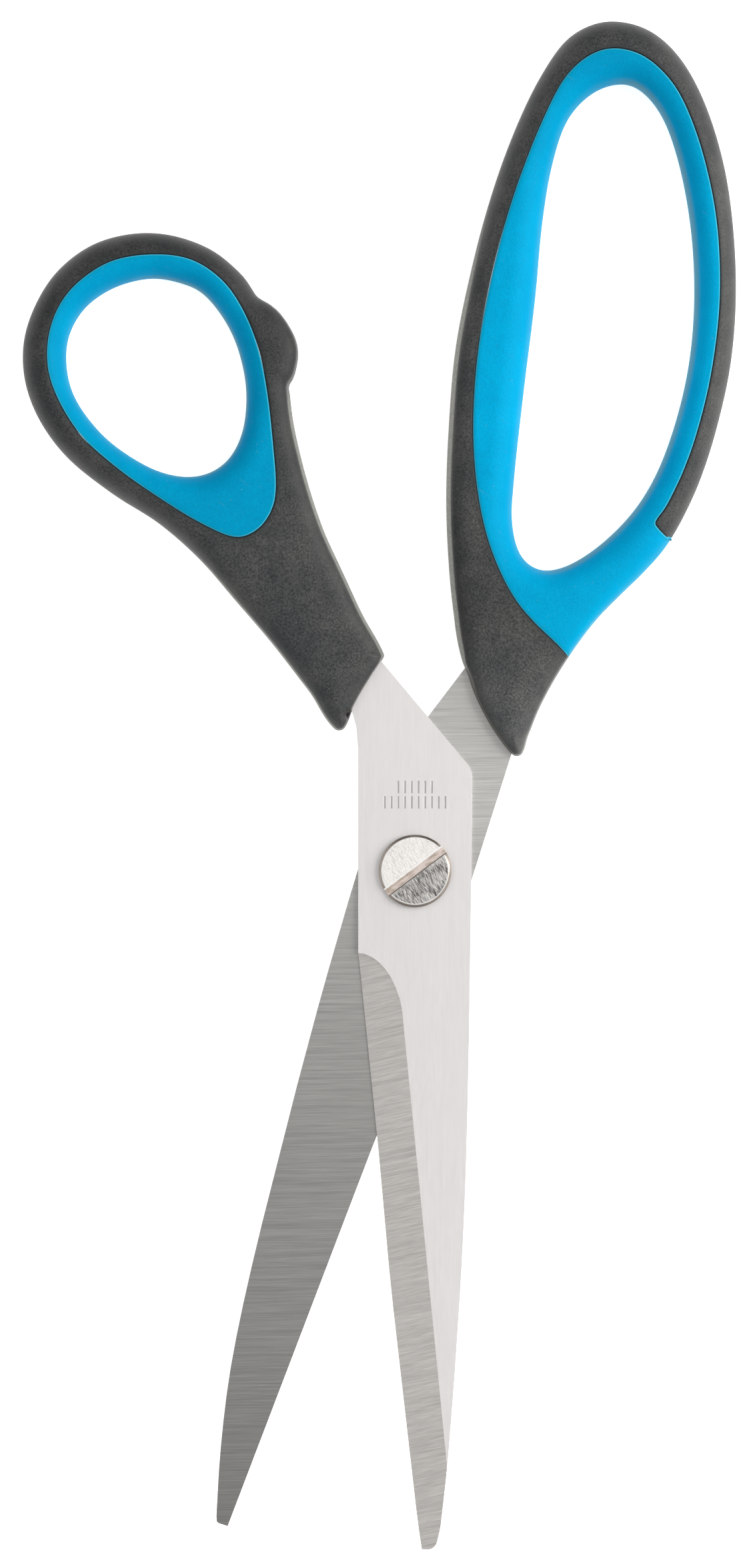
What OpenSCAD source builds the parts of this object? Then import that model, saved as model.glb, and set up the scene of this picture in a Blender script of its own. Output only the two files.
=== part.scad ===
// Office scissors with two-colour moulded handles, lying flat and part open.
// The handles rest on z = 0, the blades point along -Y and the pivot is parallel to Z.
// Each half is drawn in the closed position with the pivot at the origin. The front
// half then stays where it is, and the back half turns by open_angle.

/* [Pose] */
// Angle between the two halves, counted from closed
open_angle = 17.6; // [0:0.1:40]
// X of the pivot axis in the part's frame
pivot_x = 6; // [0:0.5:12]
// Y of the pivot axis in the part's frame
pivot_y = -14; // [-20:0.5:-8]

/* [Blades] */
// Thickness of each blade
blade_t = 1.8; // [1.4:0.1:2.2]
// Gap between the two blades' inner faces
blade_gap = 0.1; // [0.05:0.01:0.2]
// Distance from the pivot axis to the blades' straight sides
blade_half_w = 9.3; // [9.1:0.1:9.5]
// Distance from the pivot axis to the tip of the front blade
front_reach = 111; // [110:0.5:112]
// Distance from the pivot axis to the tip of the back blade
back_reach = 111.5; // [110:0.5:112]
// Width of the ground bevel
bevel_w = 6.1; // [5:0.1:7]
// Steel left at the cutting edge
edge_t = 0.35; // [0.2:0.05:0.6]
// Diameter of the locking holes in the tangs
tang_hole_d = 3; // [2:0.1:3.5]
// Height of the plain strokes stamped above the screw
stroke_h = 2; // [1.6:0.1:2.2]
// Width of each stroke
stroke_w = 0.28; // [0.2:0.02:0.4]
// Distance from stroke to stroke
stroke_step = 1.1; // [0.8:0.05:1.15]
// Depth of the strokes
stroke_depth = 0.12; // [0.05:0.01:0.2]

/* [Pivot] */
// Diameter of the screw's head
head_d = 11.8; // [10.4:0.1:12.2]
// Height of the screw's head
head_h = 1.5; // [1.2:0.1:2]
// Width and height of the chamfer round the head
head_chamfer = 0.4; // [0.2:0.1:0.8]
// Width of the driver slot
slot_w = 1.5; // [0.8:0.1:1.8]
// Depth of the driver slot
slot_depth = 0.8; // [0.4:0.1:1]
// Direction of the driver slot, counted from +X
slot_angle = 37; // [0:1:180]
// Diameter of the screw's shank
shank_d = 4; // [3:0.1:4.2]
// Diameter of the nut's barrel, on which the front blade turns
barrel_d = 6; // [5.6:0.1:6.6]
// Distance between the two flats that key the barrel in the back blade
barrel_flats = 5; // [4.8:0.1:5.4]
// Diameter of the nut's flange
flange_d = 11; // [9:0.1:12]
// Height of the nut's flange
flange_h = 1.3; // [1:0.1:1.6]
// Radial clearance of the running fits
fit = 0.05; // [0.02:0.01:0.08]
// Outer diameter of the spring washer
washer_d = 10; // [9:0.1:10.4]
// Thickness of the spring washer's metal
washer_t = 0.3; // [0.2:0.05:0.4]

/* [Handles] */
// Thickness of both handles
handle_t = 10.5; // [10:0.5:12]
// How far the outer edges are rounded
rim_r = 0.7; // [0.5:0.1:0.7]
// How far the grips round down into the finger holes
hole_r = 1.6; // [1:0.1:2]
// Width of the hard core hidden in the finger grip
core_w = 3; // [2:0.1:3.4]
// Thickness of that core
core_t = 5; // [4:0.5:6]

/* [Hidden] */
$fn = 48;
over = 1;                           // how far a cutter runs past what it cuts
mid_z = handle_t / 2;               // plane in which the two blades slide
front_z = mid_z + blade_gap / 2;    // inner face of the front blade
back_z = mid_z - blade_gap / 2;     // inner face of the back blade
head_gap = 0.03;                    // free play left beside the washer
washer_h = 0.45;                    // height of the washer's cone
steel = [0.86, 0.85, 0.85];
nickel = [0.78, 0.76, 0.73];
black = [0.2, 0.2, 0.2];
blue = [0, 0.62, 0.82];

// ---- curves ----

// Point at t on the smooth curve from b to c, with neighbours a and d
function between(a, b, c, d, t) =
    (2 * b + (c - a) * t + (2 * a - 5 * b + 4 * c - d) * t * t
    + (3 * b - a - 3 * c + d) * t * t * t) / 2;

// Smooth closed curve through the points, with n steps between neighbours
function loop(p, n = 4) = let (m = len(p)) [
    for (i = [0:m - 1], s = [0:n - 1])
        between(p[(i + m - 1) % m], p[i], p[(i + 1) % m], p[(i + 2) % m], s / n)];

// Smooth open curve through the points, both ends included
function run(p, n = 4) = let (
    m = len(p),
    q = concat([2 * p[0] - p[1]], p, [2 * p[m - 1] - p[m - 2]])
) concat(
    [for (i = [1:m - 1], s = [0:n - 1]) between(q[i - 1], q[i], q[i + 1], q[i + 2], s / n)],
    [p[m - 1]]);

// Arc of radius r that rounds the corner b between a and c
function fillet(a, b, c, r, n = 5) = let (
    u = (a - b) / norm(a - b),
    v = (c - b) / norm(c - b),
    half = acos(u * v) / 2,
    w = (u + v) / norm(u + v),
    centre = b + w * r / sin(half),
    first = b + u * r / tan(half) - centre,
    last = b + v * r / tan(half) - centre,
    turn = 180 - 2 * half,
    side = first[0] * last[1] - first[1] * last[0] > 0 ? 1 : -1
) [for (s = [0:n]) centre + turned(first, side * turn * s / n)];

// Point turned about the origin
function turned(p, a) = [p[0] * cos(a) - p[1] * sin(a), p[0] * sin(a) + p[1] * cos(a)];

// Closed outline, listed anticlockwise, moved in by d along its normals
function inset(p, d) = let (m = len(p)) [
    for (i = [0:m - 1]) let (
        t = p[(i + 1) % m] - p[(i + m - 1) % m],
        k = t / norm(t)
    ) p[i] + d * [-k[1], k[0]]];

// Outline placed at height z
function at(p, z) = [for (q = p) [q[0], q[1], z]];

// Band of width w along an open curve
function band(p, w) = let (m = len(p), side = [
    for (i = [0:m - 1]) let (
        t = p[min(i + 1, m - 1)] - p[max(i - 1, 0)],
        k = t / norm(t)
    ) [-k[1], k[0]] * w / 2]
) concat([for (i = [0:m - 1]) p[i] - side[i]], [for (i = [m - 1:-1:0]) p[i] + side[i]]);

// ---- outlines, closed position, pivot at the origin ----

// Front half. Its blade has the cutting edge on the left.
front_edge = run([[-9, -16], [-6, -45.5], [-4.25, -65], [-2.15, -84.5],
    [0.2, -104.5], [1.1, -front_reach]], 3);
front_spine = run([[4.15, -107.5], [5.5, -95], [7, -75], [8.1, -55], [8.7, -34],
    [9.1, -10], [blade_half_w, 8]], 3);
front_shoulder = [blade_half_w, 16.6];
front_blade_top = [-6.4, 35.35];     // both corners lie inside the handle
front_heel_top = [-10.7, 27.6];
front_corner = [3.3, -front_reach];
front_tip = concat(
    fillet([1.1, -front_reach], front_corner, front_spine[0], 1.6),
    fillet(front_corner, front_spine[0], front_spine[1], 12, 3));

thumb_tail_top = [-4.9, 35.2];      // corner where the handle's end meets its right side
thumb_tail_end = [[-10.3, 26.2], [-6.9, 32.2]];     // the end, across the blade
thumb_tail_tip = [-12.2, 21.6];     // lowest corner of the handle
thumb_right = run([[-20.6, 79.2], [-19.9, 73.5], [-18.6, 67.5], [-16.9, 61.4], [-14.8, 55.4],
    [-12.1, 49.5], [-8.6, 42]]);
thumb_left = run([[-17.3, 29.3], [-23.4, 37.2], [-29.3, 44.1], [-35.2, 50.9], [-41.9, 56.8],
    [-49.4, 61.6], [-56.5, 67.2], [-61.1, 73.1], [-63.7, 79.5], [-64.1, 86], [-62.3, 92.2],
    [-58.6, 98], [-53, 102.3], [-46.5, 104.2], [-40, 104], [-33.5, 101.7], [-28.6, 97.8],
    [-26, 94.2]]);
thumb_stop = run([[-26, 94.2], [-22.4, 91.6], [-19.9, 87.9], [-19.1, 84.8], [-19.6, 81.4],
    [-20.6, 79.2]], 3);
thumb_hole = loop([[-44.1, 96.8], [-50, 95], [-54.7, 91.2], [-57, 85.5], [-56, 78.2],
    [-51.2, 71.4], [-44.6, 66.6], [-38.9, 64.6], [-34, 65], [-30.2, 67.8], [-28, 73],
    [-27.8, 80.2], [-30, 87.9], [-34.3, 94], [-39, 96.3]]);
thumb_seam = loop([[-42.3, 100.6], [-36.2, 99.6], [-31.2, 96.1], [-27.8, 91], [-25.5, 85],
    [-24.1, 78], [-23.2, 70], [-22.7, 62.8], [-23.5, 58.7], [-25.9, 55.6], [-29.6, 54.5],
    [-35.3, 56.9], [-42.3, 61.2], [-49, 66], [-54.9, 71.5], [-59, 78.6], [-60.1, 84.7],
    [-58.8, 90.8], [-55.4, 95.7], [-49.5, 99.5]]);

// Back half. Its blade has the cutting edge on the right.
back_edge = run([[9.1, -16], [7, -45.5], [5.9, -65], [4.75, -85], [3.2, -back_reach]], 3);
back_spine = run([[0.9, -110.4], [-1.8, -99.5], [-4.2, -86.5], [-5.9, -70], [-7.4, -46.5],
    [-8.4, -26], [-8.9, -8], [-9, 4]], 3);
back_shoulder = [-9, 15.2];
back_blade_top = [-2.2, 34.2];
back_heel_top = [blade_half_w, 24];
back_tip = fillet([3.2, -back_reach], [1.3, -back_reach], [0.9, -110.4], 0.6);

finger_tail_top = [-2.9, 34.9];     // corner where the handle's end meets its left side
finger_tail_tip = [11, 22];         // lowest corner of the handle
finger_end = run([[-1.6, 33.4], [0.4, 30.7], [2.7, 28.2], [5.2, 25.9], [8, 23.8]], 3);
finger_right = run([[11, 26.5], [11.4, 31.6], [12.4, 37], [13.9, 42.5], [15.9, 48.1],
    [18.4, 53.1], [21, 58], [23.1, 62.9], [24.4, 68.5], [25.2, 75.5], [25.2, 84], [24.3, 94],
    [22.1, 104], [18.6, 114.2], [14, 124.1], [8.5, 132.5], [2.9, 138.5], [-2.6, 141.9],
    [-8, 142.8], [-13.3, 141.3], [-17.4, 137.1], [-19.7, 130], [-21, 121], [-21.5, 110.5],
    [-21.1, 98.5], [-19.6, 84], [-16.6, 70.5], [-13.2, 58.5], [-9.2, 47.7], [-5.6, 39.6]]);
finger_hole = loop([[-5, 133.1], [-10, 130.8], [-13.2, 125], [-13.5, 117], [-12.1, 107],
    [-9.5, 95], [-6.7, 80], [-3.9, 66], [-2, 59], [1, 54.4], [5, 53.2], [9.3, 55.7],
    [13.7, 61.5], [17, 69], [18.4, 78], [18, 90], [15.7, 101.5], [11.6, 113], [6.2, 123.3],
    [0.7, 130.3]]);
finger_seam_run = run([[20.9, 68.5], [21.9, 74.5], [22.2, 82], [21.5, 92], [19.3, 103.5],
    [15.5, 114.5], [10.8, 123.5], [5.5, 131], [0.5, 135.7], [-5.5, 138.1], [-11.2, 137],
    [-15.2, 132.3], [-17, 125], [-18, 112], [-17.7, 99], [-16, 84.5], [-12.8, 71.5],
    [-8.5, 61], [-3.5, 53], [3, 46.5], [11.5, 41.9]], 3);
band_end_in = [20, 65.8];           // inner corner where the hard band stops
band_end_low = [22.8, 64.3];        // lowest point of its end
band_end_out = [26.5, 66.6];        // the end, carried past the outside
finger_core = run([[1, 43], [8.5, 46.5], [14.5, 51.8], [18.7, 58.5], [21.5, 66], [22.9, 71.5]], 3);

thumb_outline = concat(
    fillet(thumb_left[0], thumb_tail_tip, thumb_tail_end[0], 1.2),
    thumb_tail_end,
    fillet(thumb_tail_end[1], thumb_tail_top, thumb_right[len(thumb_right) - 1], 0.8),
    [for (i = [len(thumb_right) - 1:-1:1]) thumb_right[i]],
    [for (i = [len(thumb_stop) - 1:-1:1]) thumb_stop[i]],
    [for (i = [len(thumb_left) - 1:-1:0]) thumb_left[i]]);
finger_outline = concat(
    fillet(finger_right[len(finger_right) - 1], finger_tail_top, finger_end[0], 1.2),
    finger_end,
    fillet(finger_end[len(finger_end) - 1], finger_tail_tip, finger_right[0], 1.1),
    finger_right);
finger_seam = concat(
    [[18, 38.3], [30, 38.3], [30, 66.6], band_end_out],
    fillet(band_end_out, band_end_low, band_end_in, 0.8),
    fillet(band_end_low, band_end_in, finger_seam_run[0], 0.8),
    finger_seam_run);

// ---- shared shapes ----

// Closed solid through a stack of outlines that have the same number of points
module loft(rings) {
    n = len(rings[0]);
    m = len(rings);
    walls = [for (k = [0:m - 2], i = [0:n - 1]) let (
        a = k * n + i,
        b = k * n + (i + 1) % n
    ) each [[a, a + n, b + n], [a, b + n, b]]];
    floor_face = [for (i = [0:n - 1]) i];
    top_face = [for (i = [n - 1:-1:0]) (m - 1) * n + i];
    polyhedron([for (r = rings) each r], concat([floor_face], walls, [top_face]), convexity = 12);
}

// Handle blank: an outline with rounded rims and a flared hole. Each rim is two slopes,
// which meet part of the way in (knee_in) and part of the way up (knee_h).
module blank(outline, hole) {
    rim_knee_in = 0.3 * rim_r;
    rim_knee_h = 0.6 * rim_r;
    rim_h = 1.6 * rim_r;
    hole_knee_in = 0.4 * hole_r;
    hole_knee_h = 0.7 * hole_r;
    hole_h = 2 * hole_r;
    difference() {
        loft([
            at(inset(outline, rim_r), 0),
            at(inset(outline, rim_knee_in), rim_knee_h),
            at(outline, rim_h),
            at(outline, handle_t - rim_h),
            at(inset(outline, rim_knee_in), handle_t - rim_knee_h),
            at(inset(outline, rim_r), handle_t)]);
        loft([
            at(inset(hole, -hole_r), -over),
            at(inset(hole, -hole_r), 0),
            at(inset(hole, -hole_knee_in), hole_knee_h),
            at(hole, hole_h),
            at(hole, handle_t - hole_h),
            at(inset(hole, -hole_knee_in), handle_t - hole_knee_h),
            at(inset(hole, -hole_r), handle_t),
            at(inset(hole, -hole_r), handle_t + over)]);
    }
}

// Upright prism of an outline, from z0 to z1
module prism(outline, z0, z1) {
    translate([0, 0, z0])
        linear_extrude(z1 - z0)
            polygon(outline);
}

// Strip of steel that runs from a blade into its handle, with two locking holes
module tang(base, angle, length, w0, w1, z) {
    start = -4;                     // laps back over the blade
    translate([base[0], base[1], z])
        rotate([0, 0, angle])
            difference() {
                linear_extrude(blade_t)
                    polygon([[start, -w0 / 2], [length, -w1 / 2], [length, w1 / 2], [start, w0 / 2]]);
                for (x = [0.4, 0.8] * length)
                    translate([x, 0, -over])
                        cylinder(d = tang_hole_d, h = blade_t + 2 * over);
            }
}

// Wedge that grinds the bevel into a face at z = 0. It is nothing at the ridge line from
// a to b, and takes all but edge_t of the blade at bevel_w from it. The edge is at +X of
// the ridge if side is 1 and at -X if it is -1, and the face looks up if up is 1.
module wedge(a, b, side, up) {
    run_out = 16;
    reach = 2 * bevel_w;
    fall = reach * (blade_t - edge_t) / bevel_w;
    dir = b - a;
    translate([a[0], a[1], 0])
        rotate([0, 0, atan2(dir[1], dir[0])])
            translate([-run_out, 0, 0])
                rotate([90, 0, 90])
                    linear_extrude(norm(dir) + 3 * run_out)
                        polygon([[0, 0], [side * reach, -up * fall],
                            [side * reach, up * over], [0, up * over]]);
}

// Plan of the area that the grinder reaches: it starts with a quarter ellipse that ends
// on the ridge line at a, and below a it is wider than the bevel
function ground(a, side) = let (
    start_w = 7.8,
    start_l = 13.6,
    wide = 8,
    low = -front_reach - 10,
    centre = a + side * [start_w, 0],
    left = min(a[0] - wide, centre[0] - wide),
    right = max(a[0] + wide, centre[0] + wide)
) concat(
    [for (s = [0:10]) centre + [-side * start_w * sin(9 * s), start_l * cos(9 * s)]],
    side < 0 ? [[right, a[1]], [right, low], [left, low], [left, a[1] + start_l]]
        : [[left, a[1]], [left, low], [right, low], [right, a[1] + start_l]]);

// ---- plain blades, before grinding and drilling ----

front_ridge = [[-1.7, -27], [5.3, -98]];
back_ridge = [[2.3, -27], [-1.4, -98]];

module front_plate() {
    outline = concat(
        [front_heel_top], run([[-9.6, 23.6], [-blade_half_w, 20]], 2), [[-blade_half_w, -13.4]],
        front_edge, front_tip, [for (i = [1:len(front_spine) - 1]) front_spine[i]],
        fillet([blade_half_w, 8], front_shoulder, front_blade_top, 4), [front_blade_top]);
    prism(outline, front_z, front_z + blade_t);
    tang([-8, 30.4], 123, 24, 8, 6.4, front_z);
}

module back_plate() {
    outline = concat(
        [back_heel_top, [blade_half_w, -13.4]],
        back_edge, back_tip, back_spine,
        fillet([-9, 4], back_shoulder, back_blade_top, 6), [back_blade_top]);
    prism(outline, back_z - blade_t, back_z);
    tang([3.6, 29], 110, 22, 8, 6, back_z - blade_t);
}

// Barrel section with two flats, as a solid of height h
module keyed_bar(d, flats, h) {
    intersection() {
        cylinder(d = d, h = h);
        translate([-flats / 2, -d, -over])
            cube([flats, 2 * d, h + 2 * over]);
    }
}

// ---- the nodes, each drawn about the pivot ----

module front_half() {
    translate([pivot_x, pivot_y, 0])
        children();
}

module back_half() {
    translate([pivot_x, pivot_y, 0])
        rotate([0, 0, -open_angle])
            children();
}

// Row of n upright strokes about (0, y), cut down into a face at z = 0
module stroke_row(n, y) {
    for (i = [0:n - 1])
        translate([(i - (n - 1) / 2) * stroke_step - stroke_w / 2, y - stroke_h / 2, -stroke_depth])
            cube([stroke_w, stroke_h, stroke_depth + over]);
}

module front_blade() {
    color(steel)
        front_half()
            difference() {
                front_plate();
                intersection() {
                    translate([0, 0, front_z + blade_t])
                        wedge(front_ridge[0], front_ridge[1], -1, 1);
                    prism(ground(front_ridge[0], -1), front_z - over, front_z + blade_t + over);
                }
                translate([0, 0, front_z - over])
                    cylinder(d = barrel_d + 2 * fit, h = blade_t + 2 * over);
                translate([0, 0, front_z + blade_t]) {
                    stroke_row(10, 11.2);
                    stroke_row(6, 13.7);
                }
            }
}

module back_blade() {
    color(steel)
        back_half()
            difference() {
                back_plate();
                intersection() {
                    translate([0, 0, back_z - blade_t])
                        wedge(back_ridge[0], back_ridge[1], 1, -1);
                    prism(ground(back_ridge[0], 1), back_z - blade_t - over, back_z + over);
                }
                translate([0, 0, back_z - blade_t - over])
                    keyed_bar(barrel_d + 2 * fit, barrel_flats + 2 * fit, blade_t + 2 * over);
            }
}

module thumb_handle() {
    color(black)
        front_half()
            difference() {
                blank(thumb_outline, thumb_hole);
                prism(thumb_seam, -over, handle_t + over);
                front_plate();
            }
}

module thumb_grip() {
    color(blue)
        front_half()
            intersection() {
                blank(thumb_outline, thumb_hole);
                prism(thumb_seam, -over, handle_t + over);
            }
}

module finger_core_bar() {
    prism(band(finger_core, core_w), mid_z - core_t / 2, mid_z + core_t / 2);
}

module finger_handle() {
    color(black)
        back_half()
            difference() {
                union() {
                    difference() {
                        blank(finger_outline, finger_hole);
                        prism(finger_seam, -over, handle_t + over);
                    }
                    finger_core_bar();
                }
                back_plate();
            }
}

module finger_grip() {
    color(blue)
        back_half()
            difference() {
                intersection() {
                    blank(finger_outline, finger_hole);
                    prism(finger_seam, -over, handle_t + over);
                }
                finger_core_bar();
                back_plate();
            }
}

// Cap screw: the head sits over the washer and the shank runs down inside the nut
module pivot_screw() {
    recess = 0.3;                   // how far the shank stops short of the nut's face
    lap = 0.5;                      // how far the shank runs up into the head
    under_z = front_z + blade_t + washer_h + 2 * head_gap;
    end_z = back_z - blade_t - flange_h + recess;
    top_r = head_d / 2 - head_chamfer;
    color(nickel)
        front_half()
            difference() {
                union() {
                    rotate_extrude()
                        polygon([[0, under_z], [head_d / 2, under_z],
                            [head_d / 2, under_z + head_h - head_chamfer],
                            [top_r, under_z + head_h], [0, under_z + head_h]]);
                    translate([0, 0, end_z])
                        cylinder(d = shank_d, h = under_z + lap - end_z);
                }
                translate([0, 0, under_z + head_h - slot_depth])
                    rotate([0, 0, slot_angle])
                        translate([-head_d, -slot_w / 2, 0])
                            cube([2 * head_d, slot_w, slot_depth + over]);
            }
}

// Nut: a flange behind the back blade and a barrel through both blades
module pivot_nut() {
    bevel_in = 0.9;                 // width of the bevel round the flange
    bevel_h = 0.6;                  // height of that bevel
    lap = 0.5;                      // how far the barrel runs down into the flange
    play = 0.1;                     // how far the barrel stops below the front blade's face
    flange_z = back_z - blade_t - flange_h;
    color(nickel)
        back_half()
            difference() {
                union() {
                    rotate_extrude()
                        polygon([[0, flange_z], [flange_d / 2 - bevel_in, flange_z],
                            [flange_d / 2, flange_z + bevel_h],
                            [flange_d / 2, flange_z + flange_h], [0, flange_z + flange_h]]);
                    translate([0, 0, flange_z + lap])
                        keyed_bar(barrel_d, barrel_flats, blade_t + flange_h - lap);
                    translate([0, 0, back_z])
                        cylinder(d = barrel_d, h = blade_gap + blade_t - play);
                }
                translate([0, 0, flange_z - over])
                    cylinder(d = shank_d + 2 * fit, h = 3 * handle_t);
            }
}

// Dished washer between the screw's head and the front blade
module spring_washer() {
    around = 0.4;                   // how far the washer's hole stands off the barrel
    z = front_z + blade_t + head_gap;
    inner_r = barrel_d / 2 + around;
    outer_r = washer_d / 2;
    color(nickel)
        back_half()
            rotate_extrude()
                polygon([[inner_r, z + washer_h - washer_t], [outer_r, z],
                    [outer_r, z + washer_t], [inner_r, z + washer_h]]);
}

front_blade();
back_blade();
thumb_handle();
finger_handle();
thumb_grip();
finger_grip();
pivot_screw();
pivot_nut();
spring_washer();
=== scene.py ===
"""Looks of the office scissors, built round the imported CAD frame.

The handles and grips are fine domed shells whose outlines are sections of the CAD nodes. The
blades, the screw, the nut and the washer stay as the CAD has them, with eased edges. Lengths
are in millimetres until a mesh is made. Outlines and heights come from CAD sections and boxes,
and other places are counted from the pivot, or along Y from the part's origin.
"""

import math

import bmesh
import bpy
import numpy as np
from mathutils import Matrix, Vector
from mathutils.geometry import delaunay_2d_cdt


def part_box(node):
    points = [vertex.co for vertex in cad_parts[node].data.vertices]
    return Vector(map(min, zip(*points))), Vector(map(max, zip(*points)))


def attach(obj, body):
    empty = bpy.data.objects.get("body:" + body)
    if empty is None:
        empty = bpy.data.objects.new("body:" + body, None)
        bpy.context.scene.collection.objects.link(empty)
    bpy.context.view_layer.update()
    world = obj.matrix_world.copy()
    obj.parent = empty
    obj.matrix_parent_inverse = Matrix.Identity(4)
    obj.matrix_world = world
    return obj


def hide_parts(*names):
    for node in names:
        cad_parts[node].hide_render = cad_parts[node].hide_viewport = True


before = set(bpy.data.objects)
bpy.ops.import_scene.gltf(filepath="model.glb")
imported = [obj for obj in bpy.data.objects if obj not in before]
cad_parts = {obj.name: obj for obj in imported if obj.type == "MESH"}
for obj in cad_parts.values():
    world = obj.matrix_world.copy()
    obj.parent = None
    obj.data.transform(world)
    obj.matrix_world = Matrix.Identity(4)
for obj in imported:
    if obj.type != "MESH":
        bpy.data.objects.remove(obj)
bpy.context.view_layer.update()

MM = 0.001


def node_box(name):
    """Lowest and highest corner of a CAD node, in millimetres."""
    lo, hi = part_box(name)
    return np.array(lo) / MM, np.array(hi) / MM


# ---- driving sizes, in millimetres unless a comment says otherwise ----

HANDLE_LO, HANDLE_HI = node_box("thumb_handle")
SCREW_LO, SCREW_HI = node_box("pivot_screw")
MID_Z = (HANDLE_LO[2] + HANDLE_HI[2]) / 2  # the parting plane of the handles
HALF_T = (HANDLE_HI[2] - HANDLE_LO[2]) / 2
PIVOT = (SCREW_LO[:2] + SCREW_HI[:2]) / 2
LOW_CUT = 2.4  # height of a section below the tangs and the core, above the rounded rim

STEP = 0.34  # spacing of the points along an outline
MESH_GAP = 0.7  # spacing of the points inside a handle
SEAM_GAP = 0.02  # half of the gap between hard and soft plastic
SEAM_R = 0.34  # rounding of both sides of the seam
SEAM_DEPTH = 0.055  # depth of the seam, as a share of the half thickness
ROUND_W = 4.4  # width over which an outer rim rounds down to the parting plane
ROUND_P = 2.3  # power of that curve, 2 for an ellipse
HOLE_W = 4.6  # the same width for a finger hole
HOLE_P = 2.2  # and its power
EDGE_SHARE = 0.65  # height of the rounding above a drafted wall, as a share of its width
DOME = 0.09  # share by which a handle is lower at its rim than far from it, before rounding
DOME_W = 9  # width over which it falls
NOTCHES = ((-10.7, 25.5, 0.75), (-5.5, 34.0, 0.35))  # pockets by the blade: x, y and radius
NOTCH_DEPTH = 0.55  # depth of a pocket, as a share of the height there
TAIL_Y = 52  # the tails, where the handles are square-edged, end this far above the pivot

STRAIGHT = 0.002  # a point this close to the line between its neighbours is left out
FEWEST = 8  # a loop keeps at least this many points
TOUCH = 0.01  # a point this close to the outer rim is on it
SHARED = 0.02  # two outlines run together where they are this close
EDGE = 0.004  # a point this close to a rim or hole lies on the parting plane
FAR = 9  # distances to rims and seams are stored up to this one
BATCH = 1500  # points measured against a chain at a time

# ---- outlines from the CAD ----


def section(node, z):
    """Closed loops where a CAD node crosses the plane at z, solid on the left, largest first."""
    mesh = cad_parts[node].data
    mesh.calc_loop_triangles()
    co = np.empty(len(mesh.vertices) * 3)
    mesh.vertices.foreach_get("co", co)
    co = co.reshape(-1, 3) / MM
    tris = np.empty(len(mesh.loop_triangles) * 3, int)
    mesh.loop_triangles.foreach_get("vertices", tris)
    follow = {}
    for tri in tris.reshape(-1, 3):
        corners = [tuple(co[i]) for i in tri]
        above = [c[2] > z for c in corners]
        if len(set(above)) == 1:
            continue
        cut = {}
        for i in range(3):
            j = (i + 1) % 3
            if above[i] == above[j]:
                continue
            a, b = sorted((corners[i], corners[j]))
            t = (z - a[2]) / (b[2] - a[2])
            cut[above[i]] = (a[0] + t * (b[0] - a[0]), a[1] + t * (b[1] - a[1]))
        follow[cut[True]] = cut[False]
    loops = []
    while follow:
        start, point = follow.popitem()
        points = [start]
        while point != start:
            points.append(point)
            point = follow.pop(point)
        loops.append(plain(np.array(points)))
    return sorted(loops, key=lambda p: -abs(area(p)))


def area(p):
    """Signed area of a closed loop, positive if it runs anticlockwise."""
    q = np.roll(p, -1, 0)
    return float(np.sum(p[:, 0] * q[:, 1] - q[:, 0] * p[:, 1])) / 2


def plain(p):
    """The loop without the points that lie on a straight line between their neighbours."""
    while True:
        a, b = p - np.roll(p, 1, 0), np.roll(p, -1, 0) - p
        la, lb = np.linalg.norm(a, axis=1), np.linalg.norm(b, axis=1)
        off = np.abs(a[:, 0] * b[:, 1] - a[:, 1] * b[:, 0]) / np.maximum(la + lb, 1e-9)
        drop = off < STRAIGHT
        drop &= ~np.roll(drop, 1)  # never two neighbours in one pass
        if drop[0] and drop[-1]:
            drop[-1] = False
        if not drop.any() or len(p) < FEWEST:
            return p
        p = p[~drop]


def smooth(p, closed):
    """Smooth curve through the points, and the place of each given point on it."""
    n = len(p)
    if closed:
        before, after = np.roll(p, 1, 0), np.roll(p, -1, 0)
    else:
        before = np.vstack([2 * p[0] - p[1], p[:-1]])
        after = np.vstack([p[1:], 2 * p[-1] - p[-2]])
    h0 = np.linalg.norm(p - before, axis=1)[:, None]
    h1 = np.linalg.norm(after - p, axis=1)[:, None]
    slope = ((p - before) / h0 * h1 + (after - p) / h1 * h0) / (h0 + h1)
    out, places = [], []
    for i in range(n if closed else n - 1):
        j = (i + 1) % n
        length = np.linalg.norm(p[j] - p[i])
        count = max(1, math.ceil(length / STEP))
        t = np.arange(count)[:, None] / count
        places.append(sum(len(o) for o in out))
        out.append(
            (2 * t**3 - 3 * t**2 + 1) * p[i]
            + (t**3 - 2 * t**2 + t) * length * slope[i]
            + (3 * t**2 - 2 * t**3) * p[j]
            + (t**3 - t**2) * length * slope[j]
        )
    if not closed:
        places.append(sum(len(o) for o in out))
        out.append(p[-1:])
    return np.vstack(out), places


def nearest(points, chain, closed=True):
    """Distance from each point to a chain, and where on the chain, in segments."""
    a = chain if closed else chain[:-1]
    b = np.roll(chain, -1, 0) if closed else chain[1:]
    ab = b - a
    square = np.maximum((ab**2).sum(1), 1e-12)
    dist, where = np.empty(len(points)), np.empty(len(points))
    for k in range(0, len(points), BATCH):
        ap = points[k : k + BATCH, None] - a
        t = np.clip((ap * ab).sum(2) / square, 0, 1)
        d = ((ap - t[:, :, None] * ab) ** 2).sum(2)
        best = d.argmin(1)
        rows = np.arange(len(best))
        dist[k : k + BATCH] = np.sqrt(d[rows, best])
        where[k : k + BATCH] = best + t[rows, best]
    return dist, where


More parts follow.
